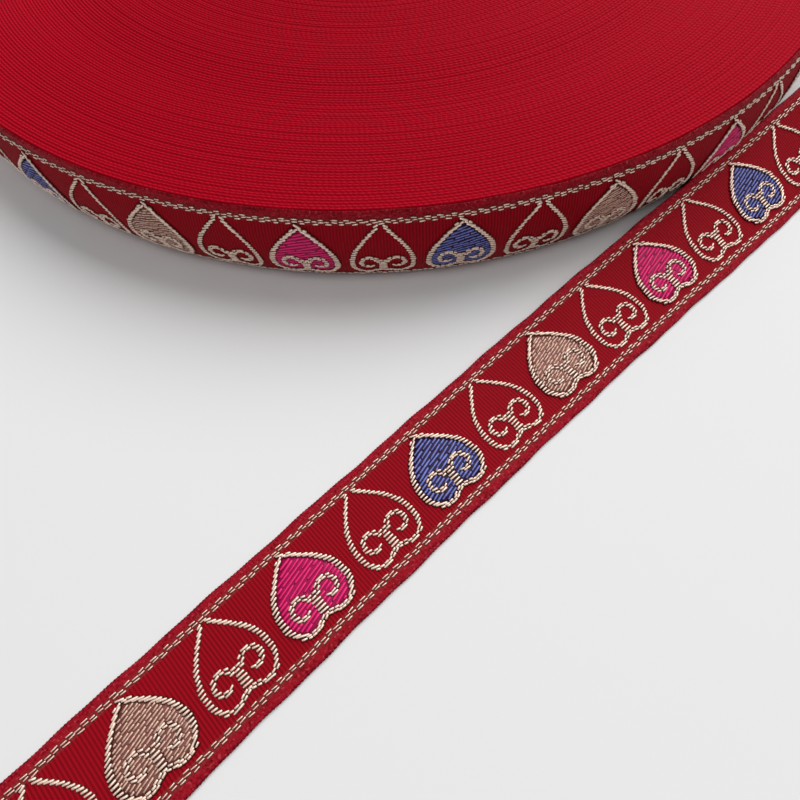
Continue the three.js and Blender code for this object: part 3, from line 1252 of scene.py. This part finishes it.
@dataclass(frozen=True)
class GroundFinish:
    """Red satin-faced ground with ribs and smooth selvedges, painted shade in the rib grooves and between
    the selvedge's picks, and a brown band under the borders that is their yarn's underlay with painted
    shade between the floats.

    Attributes:
        rib_shade: Depth of the painted shade in a groove where the broad noise is 0, and what it adds.
        pick_cells: Patches of single picks for each rib, and over the ribbon's width.
        tuft_cells: The same for the tufts of the selvedge.
        bright_cells: The same for its bright threads.
        bright_start: Where the bright threads' noise starts, apart from that of the picks.
        gap_shade_shares: What picks, tufts and the rim add to the share of painted shade in the selvedge's
            gaps.
        gap_shade_range: Between which sums the selvedge goes from its painted gap shade to its threads.
    """

    name: str = "red_ground"
    crest: tuple = (0.31, 0.002, 0.0095)
    groove_shade: tuple = (0.14, 0.0005, 0.004)
    selvedge: tuple = (0.31, 0.006, 0.016)
    tuft: tuple = (0.5, 0.06, 0.08)
    selvedge_gap_shade: tuple = (0.12, 0.0005, 0.004)
    border_underlay_and_shade: tuple = (0.2, 0.03, 0.028)
    border_from: float = 1.2 / RibbonBand.width
    border_to: float = 2.2 / RibbonBand.width
    border_shade: float = 0.6
    soft: float = 0.12 / RibbonBand.width
    rim: float = 0.3 / RibbonBand.width
    broad_scale: float = 60.0
    rib_shade: tuple = (0.55, 0.4)
    pick_cells: tuple = (1.4, 46.0)
    tuft_cells: tuple = (0.23, 21.0)
    bright_cells: tuple = (1.1, 38.0)
    bright_start: float = 40.0
    bright_range: tuple = (0.56, 0.72)
    bright_share: float = 0.5
    gap_shade_shares: tuple = (0.6, 0.4, 0.12)
    gap_shade_range: tuple = (0.68, 0.42)
    threads_across: float = 100.0
    thread_relief: float = 0.25
    selvedge_relief: float = 4.0
    fuzz_scale: float = 9000.0
    bump_depth: float = 0.00003
    roughness: float = 0.6
    gloss: float = 0.06

    def material(self) -> bpy.types.Material:
        """Painted shade darkens the ribs' grooves and the selvedge's gaps, and the border bands are brown
        under their floats for their yarn's underlay and painted shade between the floats.
        """
        board = Board(self.name)
        ribs, across = board.uv()
        from_edge = board.math("MINIMUM", across, 1 - across)
        shade, more_shade = self.rib_shade
        # painted shade: the ground darkens in each rib's groove
        shaded = board.hump(ribs) * (shade + more_shade * board.noise(self.broad_scale))
        ground = board.mix(shaded, self.crest, self.groove_shade)
        inner = board.ease(from_edge, self.border_from - self.soft, self.border_from + self.soft)
        pick = board.patches(ribs, across, self.pick_cells)
        tuft = board.patches(ribs, across, self.tuft_cells, 2.0)
        rim = board.ease(from_edge, 0.0, self.rim)
        by_pick, by_tuft, by_rim = self.gap_shade_shares
        # painted shade: the selvedge's gaps between picks show dark in random patches, most along the very
        # edge
        gap_shade_share = board.ease(pick * by_pick + tuft * by_tuft + by_rim * rim, *self.gap_shade_range)
        selvedge = board.mix(gap_shade_share, self.selvedge, self.selvedge_gap_shade)
        bright = board.patches(ribs, across, self.bright_cells, start=self.bright_start)
        lit = board.ease(bright, *self.bright_range) * self.bright_share
        selvedge = board.mix(lit, selvedge, self.tuft)
        colour = board.mix(inner, selvedge, ground)
        # brown band under the borders: their yarn's underlay with painted shade between the floats
        band = inner * board.ease(from_edge, self.border_to + self.soft, self.border_to - self.soft)
        colour = board.mix(band * self.border_shade, colour, self.border_underlay_and_shade)
        threads = board.cosine(across * self.threads_across) * self.thread_relief
        rough_edge = (1 - inner) * pick * self.selvedge_relief
        normal = board.bump(threads + board.noise(self.fuzz_scale) + rough_edge, self.bump_depth)
        return board.surface(colour, self.roughness, self.gloss, normal=normal)


@dataclass(frozen=True)
class EdgeFinish:
    """Edges of the wound turns: weft loops in rows, red, with painted shade in the gaps between loops and
    turns.

    Attributes:
        drift_cells: Patches in which the loops crowd or spread, for each loop and each turn.
        drift: Largest shift of a loop by them, in loops.
        own_cells: Patches in which loops stand up more or less.
        band_cells: Broad patches over many turns.
        sharpness: Powers of the loop's and of the turn's rise; lower is flatter.
        tone: Share of the crest's colour where own is 0, and what own adds.
        relief: The same for the height.
    """

    name: str = "red_turn_edges"
    crest: tuple = (0.45, 0.003, 0.018)
    loop_gap_shade: tuple = (0.33, 0.001, 0.009)
    drift_cells: tuple = (0.4, 3.7)
    drift: float = 0.9
    own_cells: tuple = (0.9, 1.3)
    band_cells: tuple = (0.002, 0.12)
    band_share: float = 0.25
    sharpness: tuple = (0.6, 0.7)
    tone: tuple = (0.4, 1.2)
    tone_range: tuple = (0.1, 0.95)
    relief: tuple = (0.6, 0.8)
    bump_depth: float = 0.00012
    roughness: float = 0.7
    gloss: float = 0.04

    def material(self) -> bpy.types.Material:
        """Loops stand up along each turn, at another place in each turn and of uneven length, with painted
        shade where they stand low.
        """
        board = Board(self.name)
        loops, turns = board.uv()
        turn = board.math("FLOOR", turns)
        start = board.wire(board.node("ShaderNodeTexWhiteNoise", {"noise_dimensions": "1D"}, {"W": turn}))
        drift = board.patches(loops, turn, self.drift_cells)
        loop = board.hump(loops + start + self.drift * drift)
        own = board.patches(loops, turns, self.own_cells)
        bands = board.patches(loops, turns, self.band_cells, 2.0)
        high = loop ** self.sharpness[0] * board.hump(turns) ** self.sharpness[1]
        tone = high * (self.tone[0] + self.tone[1] * own) + bands * self.band_share
        # painted shade: the colour darkens where loops and turns stand low, in their gaps
        colour = board.mix(board.ease(tone, *self.tone_range), self.loop_gap_shade, self.crest)
        normal = board.bump(high * (self.relief[0] + self.relief[1] * own), self.bump_depth)
        return board.surface(colour, self.roughness, self.gloss, normal=normal)


@dataclass(frozen=True)
class YarnFinish:
    """Pattern yarn: painted shade darkens it where it dives into the cloth, and it is bright on its crest.

    Attributes:
        dive_shade: Painted shade where the yarn dives.
        crest: Colour on its crest.
        fleck: How far the noise moves the shade, in units of the rise.
        crest_range: Between which values the colour goes from the painted dive shade to the crest.
    """

    name: str
    dive_shade: tuple
    crest: tuple
    roughness: float
    metallic: float
    gloss: float = 0.5
    fleck: float = 0.45
    fleck_scale: float = 1500.0
    crest_range: tuple = (0.35, 1.05)
    fibre_scale: float = 6000.0
    bump_depth: float = 0.00004

    def material(self) -> bpy.types.Material:
        """Painted shade follows the yarn's rise, with a fleck that differs from float to float."""
        board = Board(self.name)
        rise = board.attribute("rise")
        fleck = board.noise(self.fleck_scale)
        # painted shade: the colour darkens towards the yarn's feet, where its rise is low
        tone = board.ease(rise + self.fleck * (fleck - 0.5), *self.crest_range)
        colour = board.mix(tone, self.dive_shade, self.crest)
        normal = board.bump(board.noise(self.fibre_scale), self.bump_depth)
        return board.surface(colour, self.roughness, self.gloss, self.metallic, normal)


CHAMPAGNE = YarnFinish(
    "champagne_yarn", dive_shade=(0.1, 0.018, 0.014), crest=(1.0, 0.76, 0.62), roughness=0.36, metallic=0.35
)
FILL_YARNS = {
    Fill.GOLD: YarnFinish(
        "champagne_fill", dive_shade=(0.2, 0.06, 0.048), crest=(0.72, 0.48, 0.37), roughness=0.45, metallic=0.3
    ),
    Fill.PINK: YarnFinish(
        "pink_yarn",
        dive_shade=(0.3, 0.002, 0.06),
        crest=(0.84, 0.022, 0.18),
        roughness=0.45,
        metallic=0.0,
        gloss=0.2,
        fleck=0.3,
    ),
    Fill.BLUE: YarnFinish(
        "blue_yarn",
        dive_shade=(0.02, 0.006, 0.035),
        crest=(0.19, 0.23, 0.62),
        roughness=0.4,
        metallic=0.0,
        gloss=0.15,
        fleck=0.6,
    ),
}


@dataclass(frozen=True)
class Lamp:
    """Square area light turned to the middle of the object.

    Attributes:
        name: Its name.
        place: Where it hangs, in metres.
        side: Length of its side in metres.
        power: Its power in watts.
    """

    name: str
    place: tuple
    side: float
    power: float

    def hang(self) -> bpy.types.Object:
        """Puts the light into the scene."""
        data = bpy.data.lights.new(self.name, "AREA")
        data.size = self.side
        data.energy = self.power
        made = put_in_scene(self.name, data)
        made.location = self.place
        gaze = -np.array(self.place, float)
        yaw = math.atan2(gaze[1], gaze[0])
        pitch = math.atan2(math.hypot(gaze[0], gaze[1]), -gaze[2])
        made.rotation_euler = (pitch, 0, yaw - math.pi / 2)
        return made


@dataclass
class Studio:
    """Floor, lights and camera.

    Attributes:
        roll_axis: The roll's axis in plan.
        axis_from_camera: Where it lies from the camera.
        camera_height: Height of the camera over the surface.
        pitch_down: How far the camera looks down.
        roll_turn: Its turn about its own line of sight.
        focal_pixels: Its focal length in pixels of the square frame.
    """

    roll_axis: np.ndarray
    axis_from_camera: tuple = (1.195, 154.08)
    camera_height: float = 76.27
    pitch_down: float = math.radians(63.7)
    roll_turn: float = -0.06509
    focal_pixels: float = 570.0
    frame_pixels: float = 800.0
    sensor: float = 36.0
    nearest_seen: float = 0.002
    floor_side: float = 6.0
    floor_drop: float = 0.00005
    floor_colour: tuple = (0.72, 0.72, 0.72, 1.0)
    floor_roughness: float = 0.9
    world_strength: float = 0.2
    lamps: tuple = (
        Lamp("key", (0.45, 0.7, 1.0), 1.2, 21.5),
        Lamp("front", (-0.1, -0.45, 0.8), 0.5, 2.2),
    )

    def camera(self) -> bpy.types.Object:
        """Camera over the loose end, looking down past the roll's front."""
        data = bpy.data.cameras.new("photo_camera")
        data.sensor_width = self.sensor
        data.lens = self.sensor * self.focal_pixels / self.frame_pixels
        data.clip_start = self.nearest_seen
        made = put_in_scene("photo_camera", data)
        x, y = (self.roll_axis - np.array(self.axis_from_camera)) * MM
        tip = Matrix.Rotation(math.pi / 2 - self.pitch_down, 4, "X")
        turn = tip @ Matrix.Rotation(self.roll_turn, 4, "Z")
        made.matrix_world = Matrix.Translation((x, y, self.camera_height * MM)) @ turn
        bpy.context.scene.camera = made
        return made

    def floor(self) -> bpy.types.Object:
        """Pale floor just under the ribbon."""
        half = self.floor_side / 2
        corners = [(x * half, y * half, -self.floor_drop) for x, y in ((-1, -1), (1, -1), (1, 1), (-1, 1))]
        mesh = bpy.data.meshes.new("floor")
        mesh.from_pydata(corners, [], [(0, 1, 2, 3)])
        finish = Board("pale_floor").surface(self.floor_colour, self.floor_roughness)
        mesh.materials.append(finish)
        made = put_in_scene("floor", mesh)
        return made

    def light(self) -> None:
        """Even surrounding light, a broad key from above behind and a weak fill from the front."""
        world = bpy.data.worlds.new("studio")
        world.use_nodes = True
        back = world.node_tree.nodes["Background"]
        back.inputs["Color"].default_value = (1, 1, 1, 1)
        back.inputs["Strength"].default_value = self.world_strength
        bpy.context.scene.world = world
        for lamp in self.lamps:
            lamp.hang()


@dataclass
class RibbonRoll:
    """The whole object: turns, outermost turn and loose end with their pattern."""

    band: RibbonBand
    weave: Weave

    def build(self) -> list[bpy.types.Object]:
        """Builds every piece.

        Returns:
            The pieces.
        """
        band, weave = self.band, self.weave
        ground = GroundFinish().material()
        champagne = CHAMPAGNE.material()
        fills = {fill: yarn.material() for fill, yarn in FILL_YARNS.items()}
        turns = WoundTurns(band).shell().piece("wound_turns", EdgeFinish().material(), "woven_ribbon")
        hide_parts("wound_roll")
        pieces = [turns]
        stretches = (
            ("loose_ribbon", 0.0, band.loose_length, 4),
            ("outer_turn", band.loose_length, band.full_length, 3),
        )
        for name, start, stop, samples in stretches:
            cloth = Cloth(band, weave, start, stop, samples).shell().piece(name, ground, "woven_ribbon")
            pattern = Pattern(band, weave, start, stop, name)
            trims = [pattern.border(champagne), pattern.lines(champagne)]
            trims += [pattern.fill(fill, fills[fill]) for fill in Fill]
            if name == "loose_ribbon":
                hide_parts("loose_end")
                flat = (band.width * MM, band.loose_length * MM)
            pieces += [cloth, *trims]
        return pieces


def roll_axis_from_frame() -> np.ndarray:
    """Roll's axis in plan, in millimetres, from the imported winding's box.

    The winding's outside draws in evenly from the landing, so its lowest X and Y lie where it
    has turned on to half and three quarters of a circle from +X, on the crest of its bow.

    Returns:
        X and Y of the axis.
    """
    lowest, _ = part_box("wound_roll")
    radius = RibbonBand.roll_radius + RibbonBand.bow_reach
    lay = RibbonBand.solid_thickness + RibbonBand.solid_gap
    turned = (np.array([math.pi, 1.5 * math.pi]) - RibbonBand.landing_angle) / TAU
    return np.array([lowest.x, lowest.y]) / MM + radius - lay * turned


def main() -> None:
    """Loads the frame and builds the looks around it."""
    logging.basicConfig(level=logging.INFO, format="%(message)s")
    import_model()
    axis = roll_axis_from_frame()
    studio = Studio(axis)
    studio.camera()
    studio.floor()
    studio.light()
    bpy.context.scene.view_settings.view_transform = "Standard"
    roll = RibbonRoll(RibbonBand(axis), Weave())
    pitch = roll.weave.heart_pitch(roll.band)
    LOG.info("loose length %.2f mm, heart pitch %.3f mm", roll.band.loose_length, pitch)
    roll.build()


if __name__ == "__main__":
    main()
